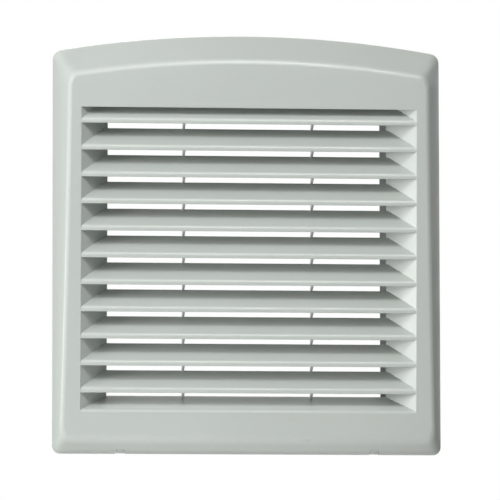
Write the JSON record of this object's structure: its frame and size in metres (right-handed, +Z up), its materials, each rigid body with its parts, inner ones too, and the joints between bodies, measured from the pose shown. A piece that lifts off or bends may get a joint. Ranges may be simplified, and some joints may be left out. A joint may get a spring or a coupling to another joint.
{
  "type": "ventilation grille",
  "caption": "Panel ventilation grille: louvred cover with an arched top, hinged at its bottom edge on a square base frame that clips or screws into a panel cut-out.",
  "frame": {"origin": "centre of the square panel cut-out, on the outer face of the panel", "axes": "+X right, +Y into the panel, +Z up; the louvres face -Y"},
  "size_m": [0.248, 0.061, 0.2682],
  "materials": {
    "grey_plastic": "light grey moulding with a fine satin grain",
    "base_plastic": "light grey moulding, satin",
    "gasket_foam": "closed-cell foam, matt",
    "zinc_steel": "zinc plated",
    "spring_steel": "plain rolled strip"
  },
  "bodies": {
    "base": {"base_frame": "base_plastic", "panel_gasket": "gasket_foam", "fixing_screw_top_left": "zinc_steel", "fixing_screw_top_right": "zinc_steel", "fixing_screw_bottom_left": "zinc_steel", "fixing_screw_bottom_right": "zinc_steel", "washer_top_left": "zinc_steel", "washer_top_right": "zinc_steel", "washer_bottom_left": "zinc_steel", "washer_bottom_right": "zinc_steel", "nut_top_left": "zinc_steel", "nut_top_right": "zinc_steel", "nut_bottom_left": "zinc_steel", "nut_bottom_right": "zinc_steel", "panel_clip_left_lower": "spring_steel", "panel_clip_left_upper": "spring_steel", "panel_clip_right_lower": "spring_steel", "panel_clip_right_upper": "spring_steel", "panel_clip_top_left": "spring_steel", "panel_clip_top_right": "spring_steel", "panel_clip_bottom_left": "spring_steel", "panel_clip_bottom_right": "spring_steel"},
    "cover": {"front_cover": "grey_plastic"}
  },
  "joints": [
    {"name": "cover_hinge", "type": "hinge", "parent": "base", "child": "cover", "pos_m": [0, -0.004, -0.1216], "axis": [1, 0, 0], "range_deg": [0, 90]}
  ]
}
